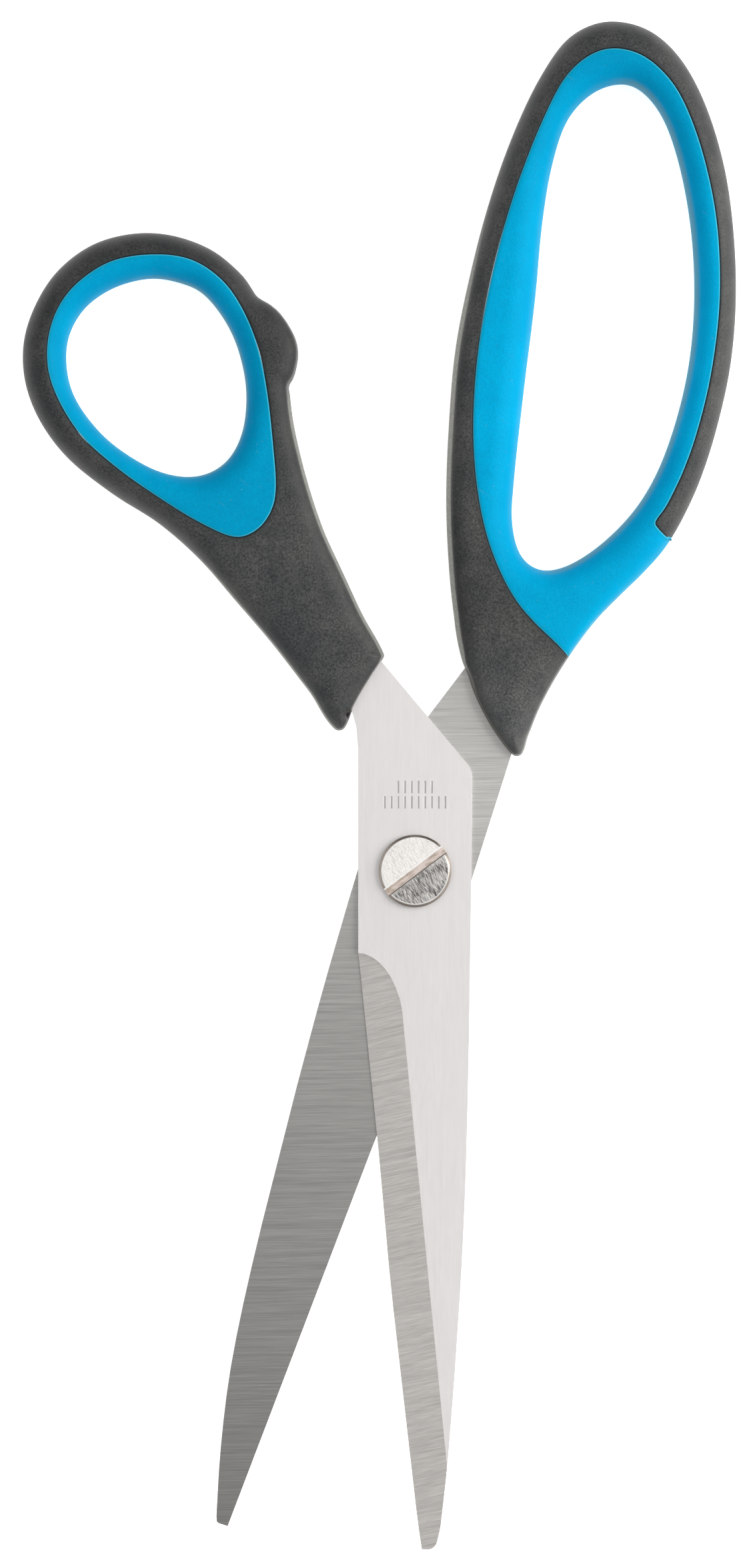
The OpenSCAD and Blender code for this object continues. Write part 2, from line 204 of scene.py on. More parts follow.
def inside(points, loop):
    """True for each point inside a closed loop."""
    x, y = points[:, 0], points[:, 1]
    a, b = loop, np.roll(loop, -1, 0)
    odd = np.zeros(len(points), bool)
    for (x0, y0), (x1, y1) in zip(a, b):
        if y0 == y1:
            continue
        crosses = (y0 > y) != (y1 > y)
        odd ^= crosses & (x < (x1 - x0) * (y - y0) / (y1 - y0) + x0)
    return odd


def normals(chain, closed=True):
    """Unit normals on the left of a chain, which is the material's side."""
    if closed:
        t = np.roll(chain, -1, 0) - np.roll(chain, 1, 0)
    else:
        t = np.gradient(chain, axis=0)
    t /= np.linalg.norm(t, axis=1)[:, None]
    return np.stack([-t[:, 1], t[:, 0]], 1)


def ramp(x, a, b):
    """0 before a, 1 after b, smooth between them."""
    t = np.clip((x - a) / (b - a), 0, 1)
    return t * t * (3 - 2 * t)


def value_at(values, where):
    """Values of a closed chain's points, read between the points."""
    i = np.floor(where).astype(int)
    t = where - i
    n = len(values)
    return values[i % n] * (1 - t) + values[(i + 1) % n] * t


# ---- handle shells ----


class Half:
    """One half's handle: its outer rim, its finger hole, its seam, and the height over them."""

    def __init__(self, rim, hole, seam, seam_closed, walls):
        self.rim, self.hole, self.seam, self.seam_closed = rim, hole, seam, seam_closed
        found = walls(rim - PIVOT, -normals(rim))
        self.square, self.draft, self.edge, self.wall_light_and_wear = (evened(f) for f in found)

    def height(self, points):
        """Height over the parting plane, distances to rim, hole and seam, and how much each point
        takes of the pale wall tone, which is painted light mixed with speckled wear."""
        d_rim, where = nearest(points, self.rim)
        d_hole, _ = nearest(points, self.hole)
        d_seam, _ = nearest(points, self.seam, self.seam_closed)
        square = value_at(self.square, where)
        draft = value_at(self.draft, where)
        edge = value_at(self.edge, where)
        soft = swell(d_rim, ROUND_W, ROUND_P)
        share = 1 - EDGE_SHARE * edge / HALF_T
        wall = share * np.clip(d_rim / draft, 0, 1)
        t = np.clip((d_rim - draft) / edge, 0, 1)
        flat = wall + (1 - share) * np.sqrt(1 - (1 - t) ** 2)
        z = ((1 - square) * soft + square * flat) * swell(d_hole, HOLE_W, HOLE_P)
        t = np.clip(1 - d_seam / SEAM_R, 0, 1)
        z *= 1 - SEAM_DEPTH * (1 - np.sqrt(1 - t**2))
        z *= 1 - DOME * np.clip(1 - d_rim / DOME_W, 0, 1) ** 2
        # the pale wall tone: painted light on drafted walls, mixed with speckled wear
        on_wall = square * (1 - ramp(d_rim, 0.85 * draft, 1.15 * draft + 0.1))
        on_wall *= value_at(self.wall_light_and_wear, where)
        return HALF_T * z, d_rim, d_hole, d_seam, on_wall


def evened(values, reach=4):
    """Values of a closed chain's points, each averaged with its neighbours."""
    return sum(np.roll(values, k) for k in range(-reach, reach + 1)) / (2 * reach + 1)


def swell(d, width, power):
    """Rises from 0 at an edge to 1 at width from it, steeply at first."""
    t = np.clip(1 - d / width, 0, 1)
    return (1 - t**power) ** (1 / power)


def thumb_walls(p, out):
    """Where the thumb handle's rim is square-edged, how wide its draft and the rounding above
    it are, and how much pale wall tone (painted light and wear) it gets, for points p from the
    pivot with outward normals out.

    inner is the side towards the other handle, stop the bump that meets it, tail the part by the
    blade and end the edge across the blade."""
    x, y = p.T
    inner = ramp(out[:, 0], 0.2, 0.7) * (1 - ramp(y, 76, 83))
    stop = ramp(x, -27, -24) * ramp(y, 76, 80) * (1 - ramp(y, 90, 96))
    tail = 1 - ramp(y, TAIL_Y - 12, TAIL_Y + 6)
    end = ramp(out[:, 0] - out[:, 1], 1.1, 1.3) * (1 - ramp(y, 33, 37))
    draft = 0.22 + 0.26 * inner * (1 - end)
    edge = 2.7 - 1.5 * end - 1.1 * stop
    square = np.maximum(np.maximum(inner, 0.8 * tail), 0.7 * stop)
    return square, draft, edge, (0.75 - 0.4 * end) * (1 - 0.8 * stop)


def finger_walls(p, out):
    """The same for the finger handle, which has no stop."""
    y = p[:, 1]
    inner = ramp(-out[:, 0], 0.35, 0.8) * (1 - ramp(y, 88, 112))
    tail = 1 - ramp(y, TAIL_Y - 14, TAIL_Y)
    end = ramp(-out[:, 1], 0.2, 0.4)
    draft = 0.24 + 0.4 * inner * (1 - end)
    return np.maximum(inner, 0.85 * tail), draft, 3.0 - 1.0 * end, 1.2 - 0.8 * end


def thin(points, gap, first):
    """Drops points closer than gap to one kept before them, or to one of the first ones."""
    cells, kept = {}, []
    for x, y in first:
        cells.setdefault((math.floor(x / gap), math.floor(y / gap)), []).append((x, y))
    for i, (x, y) in enumerate(points):
        cx, cy = math.floor(x / gap), math.floor(y / gap)
        near = [
            q
            for dx in (-1, 0, 1)
            for dy in (-1, 0, 1)
            for q in cells.get((cx + dx, cy + dy), ())
        ]
        if all((x - q[0]) ** 2 + (y - q[1]) ** 2 >= gap * gap for q in near):
            cells.setdefault((cx, cy), []).append((x, y))
            kept.append(i)
    return points[kept]


# Distances from a loop at which quads run along it: at a rim, at a square-edged wall (in drafts,
# and then the millimetres to add) and at a seam
RIM_RINGS = np.array([0, 0.03, 0.1, 0.2, 0.34, 0.5, 0.7])
WALL_RINGS = np.array([0, 0.33, 0.66, 0.98, 1.02, 1.2, 1.5])
WALL_EXTRA = np.array([0, 0, 0, 0, 0.01, 0.05, 0.2])
SEAM_RINGS = np.array([0, 0.03, 0.08, 0.15, 0.24, 0.35, 0.52])
# Distances at which loose points follow a rim or a seam, inside the quads
RIM_STEPS = (0.95, 1.2, 1.5, 1.85, 2.25, 2.7, 3.2, 3.8, 4.5)
SEAM_STEPS = (0.8, 1.2)
DENSE = 1.3  # rim steps up to this one have a point for each point of the loop, others for two
NEAR = 0.97  # share of its step that a loose point keeps off every other rim or seam
SEAM_CLEAR = 0.7  # how far the rims' loose points keep off a seam
RIM_CLEAR = 0.85  # how far the seams' loose points keep off a rim
CLOSEST = 0.24  # least distance between two loose points
ROW = 0.866  # spacing of the rows of the inner points, as a share of MESH_GAP


def shell(name, half, bounds, material, body, node):
    """A closed handle or grip. bounds lists its loops: points, and True for those on the seam."""
    rings, kinds = [], []
    for loop, on_seam in bounds:
        inward = normals(loop)
        away, where = nearest(loop, half.rim)
        square = np.where(away < TOUCH, value_at(half.square, where), 0)[:, None]
        draft = value_at(half.draft, where)[:, None]
        walls = draft * WALL_RINGS + WALL_EXTRA
        dist = (1 - square) * RIM_RINGS + square * walls
        dist[on_seam] = SEAM_RINGS
        rings.append(loop[:, None] + inward[:, None] * dist[:, :, None])
        kinds.append(on_seam)
    last = [r[:, -1] for r in rings]

    def clear(points, gap_rim, gap_seam):
        """True for each point inside the last quads and clear of the rim, hole and seam."""
        ok = nearest(points, half.seam, half.seam_closed)[0] >= gap_seam
        for chain in (half.rim, half.hole):
            ok &= nearest(points, chain)[0] >= gap_rim
        inner = np.ones(len(points), bool)
        for ring in last:
            inner &= inside(points, ring) == (area(ring) > 0)
        return ok & inner

    candidates = []
    for ring, on_seam in zip(rings, kinds):
        loop, inward = ring[:, 0], normals(ring[:, 0])
        for d in RIM_STEPS:
            every = 1 if d < DENSE else 2
            p = (loop + inward * d)[~on_seam][::every]
            candidates.append(p[clear(p, NEAR * d, SEAM_CLEAR)])
        for d in SEAM_STEPS:
            p = (loop + inward * d)[on_seam]
            candidates.append(p[clear(p, RIM_CLEAR, NEAR * d)])
    lo = np.min([r.min(0) for r in last], 0)
    hi = np.max([r.max(0) for r in last], 0)
    gx, gy = np.meshgrid(
        np.arange(lo[0], hi[0], MESH_GAP), np.arange(lo[1], hi[1], MESH_GAP * ROW)
    )
    gx = gx + (np.arange(len(gy)) % 2)[:, None] * MESH_GAP / 2
    grid = np.stack([gx.ravel(), gy.ravel()], 1)
    candidates.append(grid[clear(grid, RIM_STEPS[0], SEAM_STEPS[0])])
    fixed = np.vstack(last)
    loose = thin(np.vstack(candidates), CLOSEST, fixed)
    edges, base = [], 0
    for ring in last:
        n = len(ring)
        edges += [(base + i, base + (i + 1) % n) for i in range(n)]
        base += n
    points = np.vstack([fixed, loose])
    out = delaunay_2d_cdt([Vector(p) for p in points], edges, [], 0, 1e-7)
    flat = np.array([tuple(v) for v in out[0]])
    source = [o[0] if o else -1 for o in out[3]]
    tris = np.array(out[2])
    centres = flat[tris].mean(1)
    good = np.ones(len(tris), bool)
    for ring in last:
        good &= inside(centres, ring) == (area(ring) > 0)
    tris = tris[good]

    bm = bmesh.new()
    rim_layer = bm.verts.layers.float.new("rim_mm")
    seam_layer = bm.verts.layers.float.new("seam_mm")
    wall_layer = bm.verts.layers.float.new("on_wall")
    dark_layer = bm.verts.layers.float.new("in_notch")
    ring_points = np.vstack([r.reshape(-1, 2) for r in rings])
    everything = np.vstack([ring_points, flat])
    z, d_rim, d_hole, d_seam, on_wall = half.height(everything)
    d_edge = np.minimum(d_rim, d_hole)
    z[d_edge < EDGE] = 0
    # in_notch marks the pockets by the blade for their painted shade
    in_notch = np.zeros(len(z))
    for x, y, r in NOTCHES if node == "thumb_handle" else ():
        away = np.linalg.norm(everything - PIVOT - (x, y), axis=1)
        in_notch = np.maximum(in_notch, 1 - ramp(away, 0.7 * r, r))
    sides = []
    for sign in (1, -1):
        verts = []
        for (x, y), h, de, ds, ow, dark in zip(everything, z, d_edge, d_seam, on_wall, in_notch):
            dark = dark if sign > 0 else 0
            h *= 1 - NOTCH_DEPTH * dark
            v = bm.verts.new((x * MM, y * MM, (MID_Z + sign * h) * MM))
            v[rim_layer], v[seam_layer], v[wall_layer] = min(de, FAR), min(ds, FAR), ow
            v[dark_layer] = dark
            verts.append(v)
        sides.append(verts)
    steps = len(RIM_RINGS)
    start, last_ids = 0, []
    for ring in rings:
        n = len(ring)
        index = start + np.arange(n * steps).reshape(n, steps)
        for i in range(n):
            j = (i + 1) % n
            for k in range(steps - 1):
                quad = (index[i, k], index[j, k], index[j, k + 1], index[i, k + 1])
                bm.faces.new([sides[0][q] for q in quad])
                bm.faces.new([sides[1][q] for q in reversed(quad)])
            a, b = index[i, 0], index[j, 0]
            bm.faces.new([sides[1][a], sides[1][b], sides[0][b], sides[0][a]])
        last_ids += list(index[:, -1])
        start += n * steps
    base = len(ring_points)
    known = {i: last_ids[s] for i, s in enumerate(source) if 0 <= s < len(fixed)}
    for tri in tris:
        ids = [known.get(int(i), base + int(i)) for i in tri]
        bm.faces.new([sides[0][i] for i in ids])
        bm.faces.new([sides[1][i] for i in reversed(ids)])
    bmesh.ops.remove_doubles(bm, verts=bm.verts, dist=1e-6)
    bmesh.ops.delete(bm, geom=[v for v in bm.verts if not v.link_faces], context="VERTS")
    bmesh.ops.recalc_face_normals(bm, faces=bm.faces)
    mesh = bpy.data.meshes.new(name)
    bm.to_mesh(mesh)
    bm.free()
    mesh.materials.append(material)
    mesh.polygons.foreach_set("use_smooth", [True] * len(mesh.polygons))
    obj = bpy.data.objects.new(name, mesh)
    bpy.context.scene.collection.objects.link(obj)
    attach(obj, body)
    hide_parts(node)


# ---- materials ----


def add(tree, kind, ins=None, **props):
    """A shader node with its properties and inputs set. An input may be another's output."""
    made = tree.nodes.new("ShaderNode" + kind)
    for key, value in props.items():
        setattr(made, key, value)
    for key, value in (ins or {}).items():
        socket = made.inputs[key]
        if isinstance(value, bpy.types.NodeSocket):
            tree.links.new(value, socket)
        else:
            socket.default_value = value
    return made


def new_material(name, **sockets):
    """A material, its nodes and its one shader, whose uniform values are set on its sockets."""
    material = bpy.data.materials.new(name)
    material.use_nodes = True
    tree = material.node_tree
    tree.nodes.clear()
    shader = add(tree, "BsdfPrincipled", {k.replace("_", " "): v for k, v in sockets.items()})
    add(tree, "OutputMaterial", {"Surface": shader.outputs[0]})
    return material, tree, shader


def noise(tree, coords, scale, detail=2.0, rough=0.5, turn=0.0, stretch=(1, 1, 1)):
    """Noise over the part, in features per millimetre: along a direction turned from +X,
    across it and upwards."""
    mapped = add(
        tree,
        "Mapping",
        {
            "Vector": coords,
            "Rotation": (0, 0, math.radians(turn)),
            "Scale": tuple(MM / s for s in stretch),
        },
        vector_type="TEXTURE",
    )
    made = add(
        tree,
        "TexNoise",
        {
            "Vector": mapped.outputs[0],
            "Scale": scale,
            "Detail": detail,
            "Roughness": rough,
        },
    )
    return made.outputs["Fac"]


def spread(tree, value, a, b, lo, hi):
    """The value, taken from a..b to lo..hi and clamped."""
    return add(
        tree,
        "MapRange",
        {"Value": value, "From Min": a, "From Max": b, "To Min": lo, "To Max": hi},
    ).outputs[0]


def maths(tree, operation, a, b=0.0):
    """One step of arithmetic on a and b."""
    return add(tree, "Math", {0: a, 1: b}, operation=operation).outputs[0]


def blend_colour(tree, factor, a, b):
    """Colour a where factor is 0 and b where it is 1."""
    made = add(tree, "Mix", data_type="RGBA")
    for socket, value in ((made.inputs[0], factor), (made.inputs[6], a), (made.inputs[7], b)):
        if isinstance(value, bpy.types.NodeSocket):
            tree.links.new(value, socket)
        elif isinstance(value, float):
            socket.default_value = value
        else:
            socket.default_value = (*value, 1)
    return made.outputs[2]


def scaled(tree, colour, share):
    """The colour made brighter or darker."""
    return add(tree, "VectorMath", {0: colour, 3: share}, operation="SCALE").outputs[0]


def bump(tree, height, distance):
    """Normal of a surface whose height of 0..1 stands for a distance in millimetres."""
    ins = {"Height": height, "Distance": distance * MM, "Strength": 1.0}
    return add(tree, "Bump", ins).outputs[0]


def linear(r, g, b):
    """Linear colour from the usual 0..255 values."""
    return tuple(
        c / 12.92 if c <= 0.04045 else ((c + 0.055) / 1.055) ** 2.4
        for c in (r / 255, g / 255, b / 255)
    )


def along_y(tree, coords, tones):
    """Painted light and shade: brightness along Y, from pairs of y in millimetres and share, the
    highest y first.
    """
    place = add(tree, "SeparateXYZ", {0: coords}).outputs[1]
    shade = tones[0][1]
    for (y0, share0), (y1, share1) in zip(tones, tones[1:]):
        step = spread(tree, place, y1 * MM, y0 * MM, share1 / share0, 1)
        shade = maths(tree, "MULTIPLY", step, shade)
    return shade


def plastic(name, dark, light, edge, edge_w, seam_near, seam_far, grain, gloss, tones):
    """Moulded plastic: eroded grain that fades at the rims, mottling, scuffs and pale specks.

    edge tints the last edge_w of the rim, mostly where it faces -X: a paler flash line mixed with
    a painted reflection of the bright surroundings. seam_near and seam_far tint two lines beside
    the seam; seam_near is painted shade in the black's groove and a painted highlight on the
    blue's edge.
    grain is a pair, how deep the grain is and how much it darkens or lightens. gloss is another,
    roughness and specular. tones is painted light and shade along Y."""
    material, tree, shader = new_material(name)
    shader.inputs["IOR"].default_value = 1.5
    roughness, shader.inputs["Specular IOR Level"].default_value = gloss
    coords = add(tree, "TexCoord").outputs["Object"]

    def read(attribute):
        """A value that the mesh carries at its points."""
        return add(tree, "Attribute", attribute_name=attribute).outputs["Fac"]

    rim, seam = read("rim_mm"), read("seam_mm")
    fine = noise(tree, coords, 3.0, 3.0, 0.6)
    mottle = noise(tree, coords, 0.14, 3.0, 0.6)
    colour = blend_colour(tree, spread(tree, mottle, 0.35, 0.65, 0, 1), dark, light)
    amount = spread(tree, rim, 0.6, 3.2, 0.3, 1.0)
    grainy = spread(tree, fine, 0.34, 0.66, -grain[1], grain[1])
    grainy = maths(tree, "MULTIPLY", grainy, amount)
    shade = maths(tree, "ADD", grainy, 1.0)
    # painted light and shade along Y
    shade = maths(tree, "MULTIPLY", shade, along_y(tree, coords, tones))
    colour = scaled(tree, colour, shade)
    colour = blend_colour(tree, spread(tree, seam, 0.2, 0.75, 0.6, 0), colour, seam_far)
    # seam_near: painted shade in the black's seam groove, and a painted highlight along the blue's
    # seam edge
    colour = blend_colour(tree, spread(tree, seam, 0.12, 0.22, 0.85, 0), colour, seam_near)
    facing = add(tree, "SeparateXYZ", {0: add(tree, "TexCoord").outputs["Normal"]}).outputs[0]
    # Painted reflection of the bright surroundings along the rims, strongest where they face -X,
    # mixed with a paler flash line
    rim_flash_and_reflection = spread(tree, rim, 0.4 * edge_w, edge_w, 0.85, 0)
    rim_flash_and_reflection = maths(tree, "MULTIPLY", rim_flash_and_reflection, spread(tree, facing, -0.4, 0.3, 1, 0.15))
    rim_flash_and_reflection = maths(tree, "MULTIPLY", rim_flash_and_reflection, spread(tree, fine, 0.3, 0.6, 0.7, 1))
    colour = blend_colour(tree, rim_flash_and_reflection, colour, edge)
    specks = spread(tree, noise(tree, coords, 1.9, 1.5, 0.5), 0.73, 0.8, 0, 0.4)
    colour = blend_colour(tree, specks, colour, SCUFF)
    streaks = noise(tree, coords, 1.0, 1.0, 0.4, 52, (2.6, 0.16, 1))
    colour = blend_colour(tree, spread(tree, streaks, 0.75, 0.84, 0, 0.12), colour, SCUFF)
    # pale wall tone: painted light where drafted walls catch the light, speckled like wear
    wall_light_and_wear = spread(tree, noise(tree, coords, 2.0, 3.0, 0.7), 0.34, 0.66, 0.25, 0.8)
    wall_light_and_wear = maths(tree, "MULTIPLY", wall_light_and_wear, read("on_wall"))
    colour = blend_colour(tree, wall_light_and_wear, colour, WALL_LIGHT_AND_WEAR_TONE)
    # painted shade in the pockets by the blade
    colour = blend_colour(tree, read("in_notch"), colour, PIT_SHADE)
    tree.links.new(colour, shader.inputs["Base Color"])
    tree.links.new(
        spread(tree, fine, 0.3, 0.7, roughness - 0.06, roughness + 0.08),
        shader.inputs["Roughness"],
    )
    height = maths(tree, "MULTIPLY", fine, amount)
    tree.links.new(bump(tree, height, grain[0]), shader.inputs["Normal"])
    return material


def steel(name, face, bevel, turns, grit, fineness, contrast, roughness, tones, sunk_z=None):
    """Ground steel: brush lines in one direction on the flats and in another on the bevel.

    turns and contrast are pairs, for the flats and the bevel. grit and fineness count features
    per millimetre along and across the lines. tones is painted light and shade along Y. A flat
    floor below sunk_z is a stamped stroke's, darkened with painted shade."""
    material, tree, shader = new_material(name, Metallic=1.0)
    coords = add(tree, "TexCoord").outputs["Object"]
    tilt = add(tree, "SeparateXYZ", {0: add(tree, "TexCoord").outputs["Normal"]})
    flatness = maths(tree, "ABSOLUTE", tilt.outputs[2])
    on_bevel = maths(tree, "LESS_THAN", flatness, BEVEL_SLOPE)
    fine, wide = [], []
    for turn in turns:
        fine.append(noise(tree, coords, 1.0, 3.0, 0.65, turn, (grit, fineness, grit)))
        wide.append(noise(tree, coords, 1.0, 2.0, 0.5, turn, (grit / 4, fineness / 4, grit / 4)))
    fine, wide = (
        add(tree, "Mix", {0: on_bevel, 2: a, 3: b}, data_type="FLOAT").outputs[0]
        for a, b in (fine, wide)
    )
    tone = blend_colour(tree, on_bevel, face, bevel)
    lines = spread(tree, fine, 0.25, 0.75, -1, 1)
    lines = maths(tree, "ADD", lines, spread(tree, wide, 0.3, 0.7, -0.5, 0.5))
    depth = add(tree, "Mix", {0: on_bevel, 2: contrast[0], 3: contrast[1]}, data_type="FLOAT")
    shade = maths(tree, "ADD", maths(tree, "MULTIPLY", lines, depth.outputs[0]), 1.0)
    # painted light and shade along Y
    shade = maths(tree, "MULTIPLY", shade, along_y(tree, coords, tones))
    # painted shade on the floors of the stamped strokes
    if sunk_z:
        height = add(tree, "SeparateXYZ", {0: coords}).outputs[2]
        sunk = maths(tree, "LESS_THAN", height, sunk_z * MM)
        level = maths(tree, "GREATER_THAN", tilt.outputs[2], BEVEL_SLOPE)
        sunk = maths(tree, "MULTIPLY", sunk, level)
        shade = maths(tree, "MULTIPLY", shade, spread(tree, sunk, 0, 1, 1, STROKE_SHADE))
    tree.links.new(scaled(tree, tone, shade), shader.inputs["Base Color"])
    tree.links.new(
        spread(tree, fine, 0.25, 0.75, roughness - 0.06, roughness + 0.06),
        shader.inputs["Roughness"],
    )
    tree.links.new(bump(tree, fine, 0.002), shader.inputs["Normal"])
    return material


BEVEL_SLOPE = 0.985  # a face whose normal rises less than this belongs to a bevel
STROKE_SHADE = 0.62  # painted shade: brightness of the stamped strokes' floors
STROKE_MARGIN = 0.03  # steel that lies this far below the face's plane is in a stroke
SLOT_TURN = 37  # direction of the driver slot, in degrees from +X
SLOT_MARGIN = 0.7  # metal that lies this far below the head's top is the slot's floor
SCREW_CHAMFER = 0.4

# Painted light and shade: brightness along Y, read by along_y
EVEN = ((0, 1.0),)
FRONT_PAINTED_LIGHT = ((-40, 1.0), (-85, 1.04))
BACK_PAINTED_SHADE = ((28, 1.0), (-5, 1.12), (-22, 0.86), (-46, 0.74), (-100, 0.58), (-125, 0.5))

# Painted light and shade on the handles and grips along Y
THUMB_PAINTED_LIGHT = ((95, 0.7), (75, 0.95), (40, 1.35), (15, 1.45))
FINGER_PAINTED_LIGHT = ((130, 1.2), (60, 1.5), (28, 1.15), (8, 2.2))
THUMB_BLUE_PAINTED_LIGHT = ((80, 1.0), (50, 0.92))
FINGER_BLUE_PAINTED_LIGHT = ((122, 0.93), (85, 1.12), (60, 1.18), (34, 1.04))

SCUFF = linear(134, 134, 130)
WALL_LIGHT_AND_WEAR_TONE = linear(150, 149, 138)  # painted light on the moulds' drafted walls, broken up like speckled wear of spark-eroded plastic
# painted shade in the pockets by the blade
PIT_SHADE = linear(14, 13, 11)

black_thumb, black_finger = (
    plastic(name, linear(46, 48, 49), linear(62, 63, 61), linear(72, 70, 62), 0.4,
            linear(26, 34, 37), linear(44, 46, 46), (0.12, 0.55), (0.5, 0.28), tones)
    for name, tones in (("black_thumb", THUMB_PAINTED_LIGHT), ("black_finger", FINGER_PAINTED_LIGHT))
)
blue_thumb, blue_finger = (
    plastic(name, (0.0, 0.315, 0.57), (0.0, 0.35, 0.615), linear(108, 158, 168), edge_w,
            linear(84, 188, 218), (0.0, 0.3, 0.46), (0.05, 0.07), (0.5, 0.03), tones)
    for name, edge_w, tones in (
        ("blue_thumb", 0.55, THUMB_BLUE_PAINTED_LIGHT), ("blue_finger", 0.95, FINGER_BLUE_PAINTED_LIGHT)
    )
)
# The front bevel's darker tone is painted shade for a bevel tilted away from the light, and the
# back blade's darker steel is painted shade standing in for brush lines that catch less light
front_steel = steel("front_steel", linear(228, 225, 224), linear(210, 206, 202), (90, 14),
                    0.35, 11.0, (0.028, 0.2), 0.42, FRONT_PAINTED_LIGHT,
                    node_box("front_blade")[1][2] - STROKE_MARGIN)
back_steel = steel("back_steel", linear(189, 188, 185), linear(190, 189, 187), (1, 1),
                   0.14, 12.0, (0.17, 0.2), 0.34, BACK_PAINTED_SHADE)
nickel = steel("nickel", linear(205, 198, 189), linear(168, 158, 148), (20, 20),
               0.6, 2.5, (0.12, 0.12), 0.3, EVEN)


def screw_metal():
    """Nickel of the screw: a filed head that is duller from wear below the slot, a brown-grey
    chamfer whose darkness is partly painted shade, with a painted highlight inside it and painted
    shade at the head's rim, and a tarnished slot floor with a painted highlight along one side and
    painted shade along the other."""
    material, tree, shader = new_material("screw_nickel", Metallic=1.0)
    coords = add(tree, "TexCoord").outputs["Object"]
    turn = math.radians(SLOT_TURN)
    here = add(tree, "VectorMath", {0: coords, 1: (*(PIVOT * MM), 0)}, operation="SUBTRACT")
    flat = add(tree, "VectorMath", {0: here.outputs[0], 1: (1, 1, 0)}, operation="MULTIPLY")
    radius = add(tree, "VectorMath", {0: flat.outputs[0]}, operation="LENGTH").outputs["Value"]

    def along(direction):
        """Place along a direction of the plan, from the axis."""
        made = add(tree, "VectorMath", {0: here.outputs[0], 1: direction}, operation="DOT_PRODUCT")
        return made.outputs["Value"]

    across = along((-math.sin(turn), math.cos(turn), 0))
    right = along((0.8, -0.6, 0))
    marks = noise(tree, coords, 1.0, 3.0, 0.7, SLOT_TURN + 98, (0.9, 9, 0.5))
    files = noise(tree, coords, 1.0, 2.0, 0.6, SLOT_TURN + 70, (0.7, 7, 0.5))
    marks = maths(tree, "MULTIPLY", marks, 0.6)
    marks = maths(tree, "ADD", marks, maths(tree, "MULTIPLY", files, 0.4))
    dull = spread(tree, marks, 0.44, 0.61, 0.1, 0.86)
    bright = spread(tree, marks, 0.36, 0.5, 0.64, 1.08)
    upper = spread(tree, across, -1.6 * MM, 0.8 * MM, 0, 1)
    clouds = spread(tree, noise(tree, coords, 0.5, 1.0), 0.4, 0.6, -0.3, 0.3)
    clouds = maths(tree, "MULTIPLY", clouds, spread(tree, right, 0, 4 * MM, 0.2, 1))
    upper = maths(tree, "ADD", upper, clouds)
    shade = add(tree, "Mix", {0: upper, 2: dull, 3: bright}, data_type="FLOAT").outputs[0]
    colour = scaled(tree, linear(246, 242, 238), shade)
    chamfer = (SCREW_HI[0] - SCREW_LO[0]) / 2 - SCREW_CHAMFER
    # painted highlight: a bright line just inside the chamfer
    colour = blend_colour(
        tree, spread(tree, radius, (chamfer - 0.2) * MM, (chamfer - 0.1) * MM, 0, 0.85),
        colour, linear(250, 248, 245)
    )
    # the chamfer's brown-grey tone, partly painted shade
    colour = blend_colour(
        tree, spread(tree, radius, chamfer * MM, (chamfer + 0.1) * MM, 0, 1), colour,
        linear(164, 153, 144)
    )
    # painted shade at the head's rim
    colour = blend_colour(
        tree, spread(tree, radius, (chamfer + 0.24) * MM, (chamfer + 0.36) * MM, 0, 0.65), colour,
        linear(100, 91, 84)
    )
    depth = add(tree, "SeparateXYZ", {0: coords}).outputs[2]
    floor_z = SCREW_HI[2] - SLOT_MARGIN
    stains = noise(tree, coords, 1.0, 2.0, 0.6, SLOT_TURN, (0.5, 2.5, 1))
    stains = spread(tree, stains, 0.4, 0.62, 0, 1)
    floor_tone = blend_colour(tree, stains, linear(226, 212, 204), linear(186, 168, 154))
    # painted highlight along one side of the slot floor
    floor_tone = blend_colour(
        tree, spread(tree, across, 0.42 * MM, 0.52 * MM, 0, 1), floor_tone, linear(252, 250, 248)
    )
    # painted shade along the other side of the slot floor
    floor_tone = blend_colour(
        tree, spread(tree, across, -0.64 * MM, -0.54 * MM, 0.8, 0), floor_tone, linear(92, 80, 70)
    )
    in_slot = spread(tree, depth, (floor_z - 0.05) * MM, floor_z * MM, 1, 0)
    colour = blend_colour(tree, in_slot, colour, floor_tone)
    tree.links.new(colour, shader.inputs["Base Color"])
    tree.links.new(spread(tree, marks, 0.35, 0.65, 0.36, 0.24), shader.inputs["Roughness"])
    tree.links.new(bump(tree, marks, 0.03), shader.inputs["Normal"])
    return material


# ---- the two handles ----

thumb_seam, thumb_hole = section("thumb_grip", MID_Z)[:2]
thumb_rim = section("thumb_handle", LOW_CUT)[0]
thumb_rim, _ = smooth(thumb_rim, True)
thumb_seam, _ = smooth(thumb_seam, True)
thumb_hole, _ = smooth(thumb_hole, True)
thumb = Half(thumb_rim, thumb_hole[::-1], thumb_seam, True, thumb_walls)


def shrunk(loop):
    """The loop moved off a seam, into its own solid."""
    return loop + normals(loop) * SEAM_GAP


def flags(loop, on_seam):
    """For each point of a loop, whether it is on the seam, when all are alike."""
    return np.full(len(loop), on_seam)


shell("thumb_handle_shell", thumb,
      [(thumb_rim, flags(thumb_rim, False)),
       (shrunk(thumb_seam[::-1]), flags(thumb_seam, True))],
      black_thumb, "thumb_half", "thumb_handle")
shell("thumb_grip_shell", thumb,
      [(shrunk(thumb_seam), flags(thumb_seam, True)), (thumb_hole, flags(thumb_hole, False))],
      blue_thumb, "thumb_half", "thumb_grip")

# The finger handle and its grip share the outer rim, so the rim is put together from both.
hard = section("finger_handle", LOW_CUT)[0]
soft = section("finger_grip", LOW_CUT)[0]
finger_hole = min(section("finger_grip", MID_Z), key=area)


